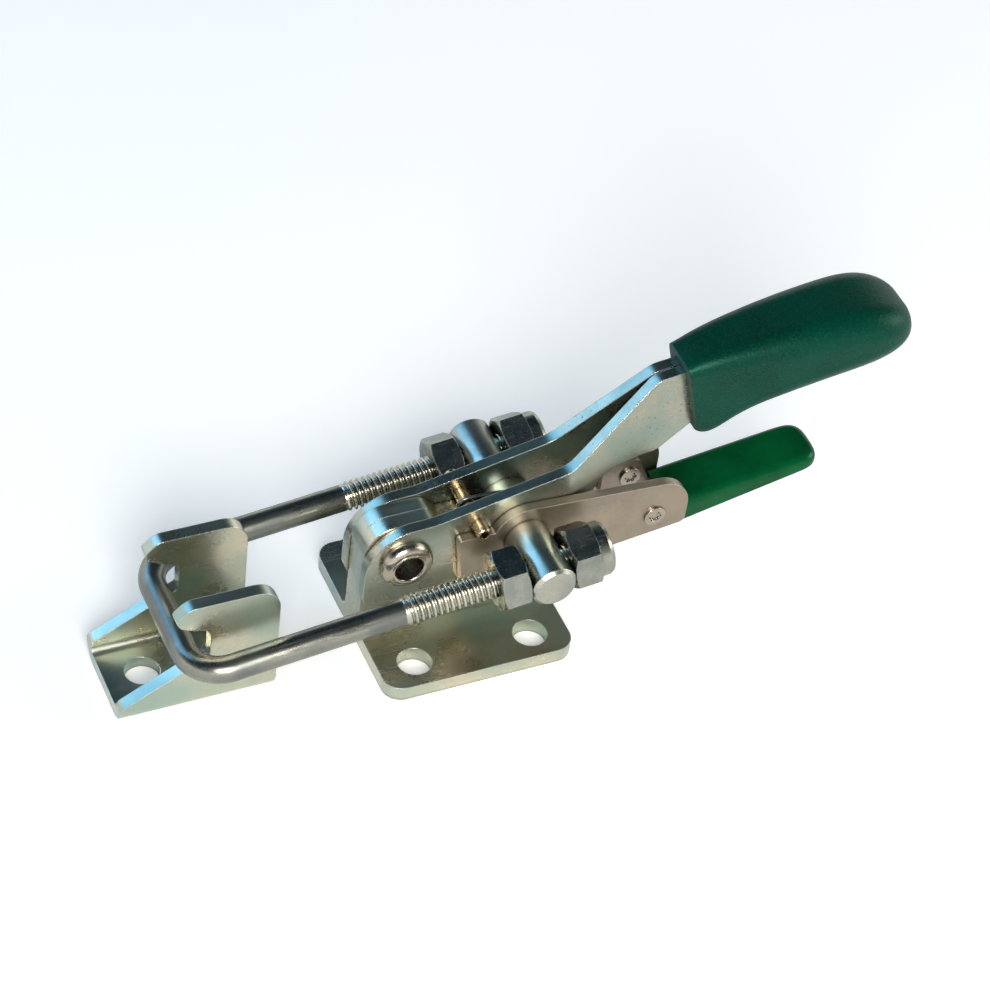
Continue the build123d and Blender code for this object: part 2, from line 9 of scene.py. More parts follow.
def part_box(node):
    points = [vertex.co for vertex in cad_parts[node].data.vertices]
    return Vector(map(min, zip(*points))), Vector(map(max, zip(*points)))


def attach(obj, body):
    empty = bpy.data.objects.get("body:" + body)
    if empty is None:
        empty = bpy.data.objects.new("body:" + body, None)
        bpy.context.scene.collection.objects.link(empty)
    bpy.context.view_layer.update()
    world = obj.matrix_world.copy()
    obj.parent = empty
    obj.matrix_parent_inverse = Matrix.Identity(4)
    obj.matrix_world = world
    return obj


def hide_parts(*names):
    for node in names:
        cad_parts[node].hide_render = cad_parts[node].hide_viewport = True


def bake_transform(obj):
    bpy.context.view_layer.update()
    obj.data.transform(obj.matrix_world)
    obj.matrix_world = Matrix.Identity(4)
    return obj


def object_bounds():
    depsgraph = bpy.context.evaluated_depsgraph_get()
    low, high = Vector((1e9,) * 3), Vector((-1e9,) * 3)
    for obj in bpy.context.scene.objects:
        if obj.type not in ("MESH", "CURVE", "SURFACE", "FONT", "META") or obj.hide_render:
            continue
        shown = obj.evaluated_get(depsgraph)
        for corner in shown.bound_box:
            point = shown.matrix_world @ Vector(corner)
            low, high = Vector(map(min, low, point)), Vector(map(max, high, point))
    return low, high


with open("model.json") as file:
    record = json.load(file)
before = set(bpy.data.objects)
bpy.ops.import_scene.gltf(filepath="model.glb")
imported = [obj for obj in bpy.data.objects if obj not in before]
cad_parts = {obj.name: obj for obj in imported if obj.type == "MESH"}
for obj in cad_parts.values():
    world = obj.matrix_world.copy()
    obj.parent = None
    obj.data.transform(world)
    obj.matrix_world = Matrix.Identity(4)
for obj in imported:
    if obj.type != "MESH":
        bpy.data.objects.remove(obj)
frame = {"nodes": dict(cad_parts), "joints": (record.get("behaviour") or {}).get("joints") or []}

bl_info = {
    "name": "Over Centre Toggle Latch",
    "version": (1, 0, 0),
    "blender": (4, 5, 0),
    "location": "View3D > Sidebar > Latch",
    "description": "Rolled threads, plated and moulded finishes and a studio for a toggle latch",
    "category": "Object",
}

CAD_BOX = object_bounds()
MM = 0.001

# ------------------------------------------------------------------ sizes
ROD_R = 2.75 * MM            # plain shank of the hook
THREAD_R = 3.10 * MM         # over the thread's crests
LEG_HALF_PITCH = 16.5 * MM
HOOK_BEND_R = 7.5 * MM       # centre line radius of the two corners
THREAD_START = 30.0 * MM     # from the trunnion forward along a leg
LEG_TAIL = 14.0 * MM         # from the trunnion back along a leg
END_CHAMFER = 0.6 * MM
RUNOUT_TURNS = 1.3           # turns over which the groove fades into the shank
CREST_FLAT = 0.06            # share of the groove's depth that crest and root are cut flat
THREAD_SHARP = math.radians(60)
RING_SIDES = 36
RINGS_PER_TURN = 12
BEND_STEPS = 16

WIRE_R = 0.42 * MM
COIL_R = 5.48 * MM           # to the wire's centre
COIL_PITCH = 0.87 * MM
COIL_NEAR_Y = -2.93 * MM     # first turn, against the near arm
COIL_FIRST = math.radians(-13)
COIL_LAST = math.radians(1070)
COIL_STEPS = 36
WIRE_ROUNDNESS = 4
PIN_HOOK_R = 1.97 * MM       # round the stop pin
PIN_HOOK_ANGLES = [math.radians(angle) for angle in (-8, 25, 58, 91, 118)]
PIN_HOOK_STEP_Y = 0.08 * MM
LEVER_LEG_STEPS = 4
LEVER_LEG_END = Vector((47.4, -0.6, 21.79)) * MM
TIP_SQUARENESS = 3.4         # 2 is a round tip, more is squarer
TIP_SHARP = math.radians(40)

# ------------------------------------------------------------------ finishes
EFFECT_SAMPLES = 6
FINE_EDGE = 0.05 * MM        # rounding of edges on the rod and the wire
LINE_STRETCH = (90, 2600, 2600)
FLECK_SCALE = 3200.0
MOTTLE_SCALE = 1400.0
LINE_ROUGHNESS = 0.12        # what a rolled line adds to the roughness
DIRT_ROUGHNESS = 0.4
# dark brown of the painted shade in corners, gaps and recesses
PAINTED_SHADE_TINT = (0.07, 0.065, 0.05, 1)
DIRT_TINT = (0.09, 0.075, 0.055, 1)
RUBBED_TINT = (0.35, 0.5, 0.42, 1)
RUBBED_SHARE = 0.12
FLECK_BRIGHTNESS = 1.6
SATIN_EDGE = (0.72, 0.64, 0.50)
NUT_EDGE = (0.66, 0.66, 0.60)
NICKEL_EDGE = (0.82, 0.78, 0.70)
# edge tint of the stop pin, in the straw of its painted reflection of the warm plates
PIN_STRAW_REFLECTION_EDGE = (0.85, 0.7, 0.48)
NYLON_SHADE = (0.58, 0.60, 0.58)
GRIP_SHEEN = (0.35, 0.90, 0.72)
DIP_SHEEN = (0.45, 1.0, 0.70)

# ------------------------------------------------------------------ studio
CAMERA_AZIMUTH = math.radians(28.35)
CAMERA_HEIGHT = math.radians(45.98)
CAMERA_ROLL = math.radians(7.75)
CAMERA_TARGET = Vector((4.8, 0.0, 10.0)) * MM
CAMERA_DISTANCE = 639.7 * MM
CAMERA_LENS = 114.06
CAMERA_SHIFT = (0.0265, 0.0737)
FLOOR_R = 3.0
FLOOR_SIDES = 96
HOOD_R = 1.3
HOOD_LOW = math.radians(20)
HOOD_HIGH = math.radians(86)
HOOD_STEPS = 12
HOOD_SIDES = 48
HOOD_RIM_TINT = (0.40, 0.44, 0.42, 1)
HOOD_TOP_TINT = (0.010, 0.028, 0.045, 1)
HOOD_DARK_LEVEL = 0.60       # share of the hood's radius at which it is darkest
FLOOR_GLOW = 0.32
MATT_LIGHT_LEVEL = 0.95
LAMPS = (                    # name, direction, distance, size, power, colour
    ("key_lamp", (-0.25, -0.80, 0.62), 0.95, 0.44, 7.8, (1.0, 0.98, 0.94)),
    ("window_lamp", (-0.50, 0.60, 0.62), 0.85, 0.46, 1.5, (0.25, 0.60, 1.0)),
    ("side_lamp", (0.85, -0.25, 0.45), 1.0, 0.45, 2.8, (1.0, 0.96, 0.88)),
)


# ------------------------------------------------------------------ node helpers
def add_node(tree, kind, inputs=None, **settings):
    """Add one shader node, set its properties, and set or link its inputs by name or number."""
    made = tree.nodes.new(kind)
    for name, value in settings.items():
        setattr(made, name, value)
    for name, value in (inputs or {}).items():
        if isinstance(value, bpy.types.NodeSocket):
            tree.links.new(value, made.inputs[name])
        else:
            made.inputs[name].default_value = value
    return made


def math_node(tree, operation, first, second, clamp=False):
    """Plain arithmetic on two numbers."""
    made = add_node(tree, "ShaderNodeMath", {0: first, 1: second}, operation=operation,
                    use_clamp=clamp)
    return made.outputs[0]


def mix_colour(tree, factor, first, second):
    """Blend two colours by a factor."""
    made = add_node(tree, "ShaderNodeMix", {0: factor, 6: first, 7: second}, data_type="RGBA")
    return made.outputs[2]


def map_range(tree, value, low, high, to_low=0.0, to_high=1.0):
    """Rescale a number and clamp it."""
    made = add_node(tree, "ShaderNodeMapRange",
                    {0: value, 1: low, 2: high, 3: to_low, 4: to_high})
    return made.outputs[0]


def object_noise(tree, scale, stretch=(1, 1, 1), detail=3.0):
    """Noise in the piece's own coordinates, stretched along its axes."""
    place = add_node(tree, "ShaderNodeTexCoord").outputs["Object"]
    place = add_node(tree, "ShaderNodeMapping", {"Vector": place, "Scale": stretch}).outputs[0]
    made = add_node(tree, "ShaderNodeTexNoise",
                    {"Vector": place, "Scale": scale, "Detail": detail})
    return made.outputs[0]


def new_group(name, inputs, outputs):
    """Start a shader group and give back the group, its input values and its output sockets."""
    group = bpy.data.node_groups.new(name, "ShaderNodeTree")
    for label, kind, default in inputs:
        socket = group.interface.new_socket(name=label, in_out="INPUT", socket_type=kind)
        socket.default_value = default
    for label, kind in outputs:
        group.interface.new_socket(name=label, in_out="OUTPUT", socket_type=kind)
    given = group.nodes.new("NodeGroupInput").outputs
    return group, given, group.nodes.new("NodeGroupOutput").inputs


def use_group(tree, group, **inputs):
    """Place a shader group in a tree; underscores in input names stand for spaces."""
    made = tree.nodes.new("ShaderNodeGroup")
    made.node_tree = group
    for name, value in inputs.items():
        made.inputs[name.replace("_", " ")].default_value = value
    return made


FLOAT = "NodeSocketFloat"
COLOUR = "NodeSocketColor"
VECTOR = "NodeSocketVector"


# ------------------------------------------------------------------ shared effects
def edge_break_group():
    """Worn, slightly rounded edges: a mask along them and the softened normal."""
    group, given, out = new_group(
        "Edge Break",
        (("Radius", FLOAT, 0.3 * MM), ("Gain", FLOAT, 5.0), ("Patch Scale", FLOAT, 900.0)),
        (("Edge", FLOAT), ("Normal", VECTOR)),
    )
    bevel = add_node(group, "ShaderNodeBevel", {"Radius": given["Radius"]}, samples=EFFECT_SAMPLES)
    surface = add_node(group, "ShaderNodeNewGeometry").outputs["Normal"]
    turn = add_node(group, "ShaderNodeVectorMath", {0: bevel.outputs[0], 1: surface},
                    operation="DOT_PRODUCT")
    edge = math_node(group, "SUBTRACT", 1.0, turn.outputs["Value"])
    edge = math_node(group, "MULTIPLY", edge, given["Gain"], clamp=True)
    patch = object_noise(group, given["Patch Scale"])
    patch = map_range(group, patch, 0.35, 0.6, 0.35, 1.0)
    group.links.new(math_node(group, "MULTIPLY", edge, patch), out["Edge"])
    group.links.new(bevel.outputs[0], out["Normal"])
    return group


def plating_group():
    """Plated metal: slow clouds of two tints, a finer mottle, and a roughness that follows both."""
    group, given, out = new_group(
        "Plating",
        (("Light", COLOUR, (0.7, 0.7, 0.65, 1)), ("Shade", COLOUR, (0.5, 0.52, 0.5, 1)),
         ("Cloud Scale", FLOAT, 70.0), ("Smooth", FLOAT, 0.2), ("Rough", FLOAT, 0.35)),
        (("Colour", COLOUR), ("Roughness", FLOAT)),
    )
    cloud = object_noise(group, given["Cloud Scale"], detail=4.0)
    mottle = object_noise(group, MOTTLE_SCALE, detail=2.0)
    cloud = map_range(group, cloud, 0.36, 0.64)
    mottle = map_range(group, mottle, 0.3, 0.7, -0.12, 0.12)
    blend = math_node(group, "ADD", cloud, mottle, clamp=True)
    colour = mix_colour(group, blend, given["Light"], given["Shade"])
    rough = map_range(group, blend, 0.0, 1.0, given["Smooth"], given["Rough"])
    group.links.new(colour, out["Colour"])
    group.links.new(rough, out["Roughness"])
    return group


def rolled_lines_group():
    """Lines along the sheet, flecks and a slow waviness as a height in mm, and the lines' mask."""
    group, given, out = new_group(
        "Rolled Lines",
        (("Line Depth", FLOAT, 0.0018), ("Fleck Depth", FLOAT, 0.0022),
         ("Wave Depth", FLOAT, 0.1), ("Wave Scale", FLOAT, 110.0)),
        (("Height", FLOAT), ("Line", FLOAT)),
    )
    fine = object_noise(group, 1.0, stretch=LINE_STRETCH)
    fleck = object_noise(group, FLECK_SCALE, detail=1.0)
    wave = object_noise(group, given["Wave Scale"], detail=1.0)
    lines = math_node(group, "MULTIPLY", fine, given["Line Depth"])
    flecks = math_node(group, "MULTIPLY", fleck, given["Fleck Depth"])
    swell = math_node(group, "MULTIPLY", wave, given["Wave Depth"])
    height = math_node(group, "ADD", math_node(group, "ADD", lines, flecks), swell)
    group.links.new(height, out["Height"])
    group.links.new(map_range(group, fine, 0.60, 0.70), out["Line"])
    return group


def specks_group():
    """Small dark specks of dirt that gather in patches."""
    group, given, out = new_group(
        "Specks",
        (("Scale", FLOAT, 1300.0), ("Amount", FLOAT, 0.5), ("Patch Scale", FLOAT, 60.0)),
        (("Mask", FLOAT),),
    )
    place = add_node(group, "ShaderNodeTexCoord").outputs["Object"]
    cells = add_node(group, "ShaderNodeTexVoronoi", {"Vector": place, "Scale": given["Scale"]})
    dots = map_range(group, cells.outputs["Distance"], 0.12, 0.36, 1.0, 0.0)
    tone = add_node(group, "ShaderNodeSeparateColor", {0: cells.outputs["Color"]}).outputs[0]
    dots = math_node(group, "MULTIPLY", dots, map_range(group, tone, 0.72, 0.80))
    patch = object_noise(group, given["Patch Scale"], detail=2.0)
    patch = map_range(group, patch, 0.52, 0.66)
    mask = math_node(group, "MULTIPLY", dots, patch)
    mask = math_node(group, "MULTIPLY", mask, given["Amount"], clamp=True)
    group.links.new(mask, out["Mask"])
    return group


def painted_shade_group():
    """Painted shade that darkens corners, gaps and recesses."""
    group, given, out = new_group(
        "Painted Shade",
        (("Reach", FLOAT, 1.2 * MM), ("Amount", FLOAT, 0.7)),
        (("Mask", FLOAT),),
    )
    open_sky = add_node(group, "ShaderNodeAmbientOcclusion", {"Distance": given["Reach"]},
                        samples=EFFECT_SAMPLES)
    closed = map_range(group, open_sky.outputs["AO"], 0.25, 0.85, 1.0, 0.0)
    mask = math_node(group, "MULTIPLY", closed, given["Amount"], clamp=True)
    group.links.new(mask, out["Mask"])
    return group


def grain_group():
    """Moulded or dipped skin: grain on a slow swell, with a mask for tone and one for flecks."""
    group, given, out = new_group(
        "Skin Grain",
        (("Grain Scale", FLOAT, 2600.0), ("Swell Scale", FLOAT, 90.0), ("Grain", FLOAT, 1.0)),
        (("Height", FLOAT), ("Tone", FLOAT), ("Fleck", FLOAT)),
    )
    grain = object_noise(group, given["Grain Scale"], detail=2.0)
    swell = object_noise(group, given["Swell Scale"])
    height = math_node(group, "ADD", math_node(group, "MULTIPLY", grain, given["Grain"]), swell)
    fleck = math_node(group, "MULTIPLY", map_range(group, grain, 0.45, 0.75), given["Grain"])
    group.links.new(height, out["Height"])
    group.links.new(map_range(group, swell, 0.35, 0.65), out["Tone"])
    group.links.new(fleck, out["Fleck"])
    return group


GROUPS = {
    "edge": edge_break_group,
    "plating": plating_group,
    "lines": rolled_lines_group,
    "specks": specks_group,
    "painted_shade": painted_shade_group,
    "grain": grain_group,
}
_built = {}


def shared(name):
    """A shared effect, built the first time it is asked for."""
    if name not in _built:
        _built[name] = GROUPS[name]()
    return _built[name]


# ------------------------------------------------------------------ materials
def scaled(tint, share):
    """A tint made darker or brighter by a share."""
    return [part * share for part in tint]


def new_material(name):
    """An empty material, its tree and its Principled shader."""
    material = bpy.data.materials.new(name)
    material.use_nodes = True
    tree = material.node_tree
    return material, tree, tree.nodes["Principled BSDF"]


def plated_metal(name, light, shade, smooth, rough, edge_tint, edge_radius, cloud=70.0, dirt=0.0):
    """Plated steel with clouds, rolled lines, bright worn edges, painted shade in corners and some
    dirt.
    """
    material, tree, shader = new_material(name)
    edge = use_group(tree, shared("edge"), Radius=edge_radius)
    plating = use_group(tree, shared("plating"), Light=(*light, 1), Shade=(*shade, 1),
                        Cloud_Scale=cloud, Smooth=smooth, Rough=rough)
    lines = use_group(tree, shared("lines"))
    corner_painted_shade = use_group(tree, shared("painted_shade"))
    # worn edges take the edge tint; the zinc's light blue edge tint is partly a painted reflection
    # of blue light
    colour = mix_colour(tree, edge.outputs["Edge"], plating.outputs["Colour"], (*edge_tint, 1))
    # painted shade: corners, gaps and recesses are darkened in the colour
    colour = mix_colour(tree, corner_painted_shade.outputs["Mask"], colour, PAINTED_SHADE_TINT)
    streaks = math_node(tree, "MULTIPLY", lines.outputs["Line"], LINE_ROUGHNESS)
    roughness = math_node(tree, "ADD", plating.outputs["Roughness"], streaks)
    if dirt:
        specks = use_group(tree, shared("specks"), Amount=dirt).outputs["Mask"]
        colour = mix_colour(tree, specks, colour, DIRT_TINT)
        dull = math_node(tree, "MULTIPLY", specks, DIRT_ROUGHNESS)
        roughness = math_node(tree, "ADD", roughness, dull)
    bump = add_node(tree, "ShaderNodeBump",
                    {"Strength": 1.0, "Distance": MM, "Height": lines.outputs["Height"],
                     "Normal": edge.outputs["Normal"]})
    shader.inputs["Metallic"].default_value = 1.0
    tree.links.new(colour, shader.inputs["Base Color"])
    tree.links.new(roughness, shader.inputs["Roughness"])
    tree.links.new(bump.outputs[0], shader.inputs["Normal"])
    return material


def moulded_plastic(name, colour, shade, roughness, gloss, grain, grain_scale, depth,
                    edge_radius, tint=(1.0, 1.0, 1.0)):
    """Coloured plastic skin with grain, a slow change of tone and rubbed edges."""
    material, tree, shader = new_material(name)
    edge = use_group(tree, shared("edge"), Radius=edge_radius, Gain=2.0, Patch_Scale=500.0)
    skin = use_group(tree, shared("grain"), Grain_Scale=grain_scale, Grain=grain)
    tone = mix_colour(tree, skin.outputs["Tone"], (*colour, 1), (*shade, 1))
    fleck = (*scaled(colour, FLECK_BRIGHTNESS), 1)
    tone = mix_colour(tree, skin.outputs["Fleck"], tone, fleck)
    rubbed = mix_colour(tree, RUBBED_SHARE, tone, RUBBED_TINT)
    worn = math_node(tree, "MULTIPLY", edge.outputs["Edge"], 0.5)
    tone = mix_colour(tree, worn, tone, rubbed)
    rough_value = map_range(tree, skin.outputs["Tone"], 0.0, 1.0, roughness * 0.85,
                            roughness * 1.15)
    bump = add_node(tree, "ShaderNodeBump",
                    {"Strength": 0.6, "Distance": depth, "Height": skin.outputs["Height"],
                     "Normal": edge.outputs["Normal"]})
    shader.inputs["Specular IOR Level"].default_value = gloss
    shader.inputs["Specular Tint"].default_value = (*tint, 1)
    tree.links.new(tone, shader.inputs["Base Color"])
    tree.links.new(rough_value, shader.inputs["Roughness"])
    tree.links.new(bump.outputs[0], shader.inputs["Normal"])
    return material


def dress(nodes, material):
    """Give CAD nodes a material in place of the plain one they came with."""
    for name in nodes:
        piece = frame["nodes"][name]
        if not piece.material_slots:
            piece.data.materials.append(material)
        for slot in piece.material_slots:
            slot.material = material


def pair(name):
    """The near and the far node of a name."""
    return f"{name}_near", f"{name}_far"


# ------------------------------------------------------------------ mesh helpers
def add_piece(name, mesh, *materials):
    """Put a mesh in the scene as a piece of its own, with its materials."""
    for material in materials:
        mesh.materials.append(material)
    made = bpy.data.objects.new(name, mesh)
    bpy.context.scene.collection.objects.link(made)
    return made


def ring(radius, level, sides):
    """Points on a level circle round the upright axis."""
    turns = [2 * math.pi * i / sides for i in range(sides)]
    return [(radius * math.cos(turn), radius * math.sin(turn), level) for turn in turns]


def skin_faces(rings, sides):
    """Faces that join each ring of points to the next one."""
    faces = []
    for row in range(rings - 1):
        for side in range(sides):
            low, nxt = row * sides, (side + 1) % sides
            faces.append((low + side, low + nxt, low + sides + nxt, low + sides + side))
    return faces


# ------------------------------------------------------------------ settings
def length_property(name, description, default, low, high):
    """A length in millimetres that a user may change."""
    return FloatProperty(name=name, description=description, default=default * MM,
                         min=low * MM, max=high * MM, unit="LENGTH", precision=5)


def colour_property(name, description, default):
    """A colour that a user may change."""
    return FloatVectorProperty(name=name, description=description, default=default, size=3,
                               min=0.0, max=1.0, subtype="COLOR")


class LatchSizes(bpy.types.PropertyGroup):
    """Sizes of what the looks add to the solids."""
    thread_pitch: length_property("Thread Pitch", "Distance from one crest to the next",
                                  1.27, 0.5, 3)
    thread_depth: length_property("Thread Depth", "Depth of the rolled groove", 0.68, 0.1, 1)
    sheet_edge: length_property("Sheet Edge", "Rounding of the sheared sheet edges",
                                0.28, 0.05, 1)
    turned_edge: length_property("Turned Edge", "Rounding of turned and headed edges",
                                 0.18, 0.05, 1)
    grain_scale: IntProperty(name="Grain Scale", default=2400, min=200, max=8000,
                             description="Grains per metre across the grip's skin")


class LatchColours(bpy.types.PropertyGroup):
    """Base colours of the finishes."""
    zinc_light: colour_property("Zinc Light", "Cream side of the bright zinc plate",
                                (0.74, 0.68, 0.54))
    zinc_shade: colour_property("Zinc Shade", "Green grey side of the bright zinc plate",
                                (0.47, 0.58, 0.50))
    # the light blue of this edge tint is partly the sheared edges' own colour and partly a painted
    # reflection of blue light
    zinc_edge_and_sheen: colour_property("Zinc Edge and Sheen", "Sheared edges of the plated sheet", (0.66, 0.76, 0.80))
    satin_light: colour_property("Satin Light", "Warm satin plate", (0.48, 0.40, 0.31))
    satin_shade: colour_property("Satin Shade", "Darker satin plate", (0.39, 0.33, 0.27))
    steel_light: colour_property("Steel Light", "Bright turned steel", (0.60, 0.59, 0.50))
    steel_shade: colour_property("Steel Shade", "Darker turned steel", (0.42, 0.44, 0.39))
    rod_light: colour_property("Rod Light", "Plated hook rod", (0.37, 0.36, 0.31))
    rod_shade: colour_property("Rod Shade", "Darker hook rod", (0.23, 0.24, 0.22))
    thread: colour_property("Thread", "Burnished crests of the rolled thread", (0.78, 0.75, 0.64))
    nickel: colour_property("Nickel", "Warm nickel of the rivets", (0.56, 0.50, 0.42))
    # the stop pin's straw tint is a painted reflection of the warm release plates
    pin_straw_reflection: colour_property("Pin Straw Reflection", "Straw tinted slotted pin", (0.60, 0.44, 0.27))
    nylon: colour_property("Nylon", "Natural nylon lock ring", (0.70, 0.72, 0.70))
    grip_green: colour_property("Grip Green", "Moulded grip", (0.001, 0.043, 0.026))
    dip_green: colour_property("Dip Green", "Dipped lever skin", (0.001, 0.086, 0.024))
    floor: colour_property("Floor", "Pale studio floor", (0.93, 0.93, 0.92))


# ------------------------------------------------------------------ hook
def hook_axes():
    """Trunnion centre and the hook's own length and height directions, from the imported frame."""
    joint = next(j for j in frame["joints"] if j["name"] == "hook_swing")
    centre = Vector(joint["pos_m"])
    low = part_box("u_bolt")[0]
    bar = Vector((low[0] + ROD_R, 0.0, low[2] + ROD_R))
    along = centre - bar
    reach = along.length
    along.normalize()
    return centre, along, Vector((-along.z, 0.0, along.x)), reach


def hook_line(reach):
    """Centre line of the rod: a function of the length from the near tail, and its four joints."""
    leg = LEG_TAIL + reach - HOOK_BEND_R
    arc = math.pi / 2 * HOOK_BEND_R
    bar = 2 * (LEG_HALF_PITCH - HOOK_BEND_R)
    joints = (leg, leg + arc, leg + arc + bar, leg + 2 * arc + bar)

    def place(s):
        """Point (x, y) and heading at a length along the rod."""
        if s <= joints[0]:
            return LEG_TAIL - s, -LEG_HALF_PITCH, math.pi
        if s <= joints[1]:
            turn = (s - joints[0]) / HOOK_BEND_R
            return (HOOK_BEND_R * (1 - math.sin(turn)) - reach,
                    HOOK_BEND_R * (1 - math.cos(turn)) - LEG_HALF_PITCH, math.pi - turn)
        if s <= joints[2]:
            return -reach, s - joints[1] + HOOK_BEND_R - LEG_HALF_PITCH, math.pi / 2
        if s <= joints[3]:
            turn = (s - joints[2]) / HOOK_BEND_R
            return (HOOK_BEND_R * (1 - math.cos(turn)) - reach,
                    LEG_HALF_PITCH - HOOK_BEND_R * (1 - math.sin(turn)), math.pi / 2 - turn)
        return s - joints[3] + HOOK_BEND_R - reach, LEG_HALF_PITCH, 0.0

    return place, joints, 2 * leg + 2 * arc + bar


def groove(turn):
    """Depth share of the rolled groove at a fraction of a turn: 0 on the crest, 1 in the root."""
    wave = 0.5 - 0.5 * math.cos(2 * math.pi * turn)
    return min(1.0, max(0.0, wave * (1 + 2 * CREST_FLAT) - CREST_FLAT))


def rod_radius(inside, turn, pitch, depth):
    """Radius of the rod at a distance from its nearer tail."""
    zone = LEG_TAIL + THREAD_START
    if inside >= zone:
        return ROD_R
    crest = THREAD_R - depth * groove(turn)
    fade = min(1.0, (zone - inside) / (RUNOUT_TURNS * pitch))
    return min(ROD_R + (crest - ROD_R) * fade, THREAD_R - END_CHAMFER + inside)


def build_hook_mesh(name, pitch, depth):
    """One closed skin for the bent rod, with helical grooves along both legs."""
    centre, along, up, reach = hook_axes()
    place, joints, total = hook_line(reach)
    zone = LEG_TAIL + THREAD_START
    rows = math.ceil(zone / pitch * RINGS_PER_TURN)
    threaded = [zone * row / rows for row in range(rows + 1)]
    first_bend = [joints[0] + (joints[1] - joints[0]) * i / BEND_STEPS
                  for i in range(BEND_STEPS + 1)]
    stations = threaded + first_bend
    stations += [total - s for s in reversed(stations)]
    vertices = []
    for s in stations:
        x, y, heading = place(s)
        outward = Vector((-math.sin(heading), math.cos(heading)))
        for side in range(RING_SIDES):
            share = side / RING_SIDES
            radius = rod_radius(min(s, total - s), s / pitch - share, pitch, depth)
            flat = Vector((x, y)) + outward * (radius * math.cos(2 * math.pi * share))
            height = radius * math.sin(2 * math.pi * share)
            vertices.append(centre + along * flat.x + Vector((0, flat.y, 0)) + up * height)
    last = (len(stations) - 1) * RING_SIDES
    faces = [tuple(reversed(range(RING_SIDES))), *skin_faces(len(stations), RING_SIDES),
             tuple(range(last, last + RING_SIDES))]
    mesh = bpy.data.meshes.new(name)
    mesh.from_pydata(vertices, [], faces)
    mesh.shade_smooth()
    mesh.set_sharp_from_angle(angle=THREAD_SHARP)
    plain_skin = range(1 + rows * RING_SIDES, len(faces) - 1 - rows * RING_SIDES)
    for face in mesh.polygons:
        face.material_index = 0 if face.index in plain_skin else 1
    return mesh


# ------------------------------------------------------------------ return spring and lever skin
def around(centre, radius, angle, y):
    """Point on a circle in the latch's long plane, at an angle forward from its top."""
    return Vector((centre.x - radius * math.sin(angle), y, centre.z + radius * math.cos(angle)))


def build_spring_mesh(name, centre, pin):
    """Wire with a leg to the lever, a coil on the trunnion and a hook round the stop pin."""
    leave = around(centre, COIL_R, COIL_FIRST, COIL_NEAR_Y)
    points = [LEVER_LEG_END.lerp(leave, step / LEVER_LEG_STEPS) for step in range(LEVER_LEG_STEPS)]
    for step in range(COIL_STEPS + 1):
        turned = (COIL_LAST - COIL_FIRST) * step / COIL_STEPS
        y = COIL_NEAR_Y + COIL_PITCH * turned / (2 * math.pi)
        points.append(around(centre, COIL_R, COIL_FIRST + turned, y))
    for angle in PIN_HOOK_ANGLES:
        points.append(around(pin, PIN_HOOK_R, angle, points[-1].y + PIN_HOOK_STEP_Y))
    curve = bpy.data.curves.new(name, "CURVE")
    curve.dimensions = "3D"
    curve.bevel_depth = WIRE_R
    curve.bevel_resolution = WIRE_ROUNDNESS
    curve.use_fill_caps = True
    spline = curve.splines.new("BEZIER")
    spline.bezier_points.add(len(points) - 1)
    for knot, point in zip(spline.bezier_points, points):
        knot.co = point
        knot.handle_left_type = knot.handle_right_type = "AUTO"
    wire = bpy.data.objects.new(name, curve)
    mesh = bpy.data.meshes.new_from_object(wire)
    bpy.data.objects.remove(wire)
    return mesh


def squared_tip_mesh(name, node):
    """The dipped skin of a node with its round tip drawn out towards its corners."""
    mesh = frame["nodes"][node].data.copy()
    mesh.name = name
    mesh.materials.clear()
    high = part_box(node)[1]
    start, power = high.x - high.y, TIP_SQUARENESS
    for vertex in mesh.vertices:
        ahead = vertex.co.x - start
        if ahead > 0:
            turn = math.atan2(vertex.co.y, ahead)
            reach = (abs(math.cos(turn)) ** power + abs(math.sin(turn)) ** power) ** (-1 / power)
            vertex.co.x = start + ahead * reach
            vertex.co.y *= reach
    mesh.attributes.remove(mesh.attributes["custom_normal"])
    mesh.shade_smooth()
    mesh.set_sharp_from_angle(angle=TIP_SHARP)
    return mesh


# ------------------------------------------------------------------ pieces and finishes
class LATCH_OT_hook(bpy.types.Operator):
    """Build the bent hook rod with its two rolled threads"""
    bl_idname = "latch.hook"
    bl_label = "Hook Rod"

    def execute(self, context):
        sizes, colours = context.scene.latch_sizes, context.scene.latch_colours
        rod = plated_metal(
            "hook_rod", colours.rod_light, colours.rod_shade, smooth=0.24, rough=0.36,
            edge_tint=colours.steel_light, edge_radius=FINE_EDGE, cloud=90.0)
        thread = plated_metal(
            "hook_thread", colours.thread, colours.steel_light, smooth=0.18, rough=0.30,
            edge_tint=colours.thread, edge_radius=FINE_EDGE, cloud=90.0)
        mesh = build_hook_mesh("threaded_hook", sizes.thread_pitch, sizes.thread_depth)
        hook = add_piece("threaded_hook", mesh, rod, thread)
        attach(hook, "hook")
        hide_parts("u_bolt")
        return {"FINISHED"}


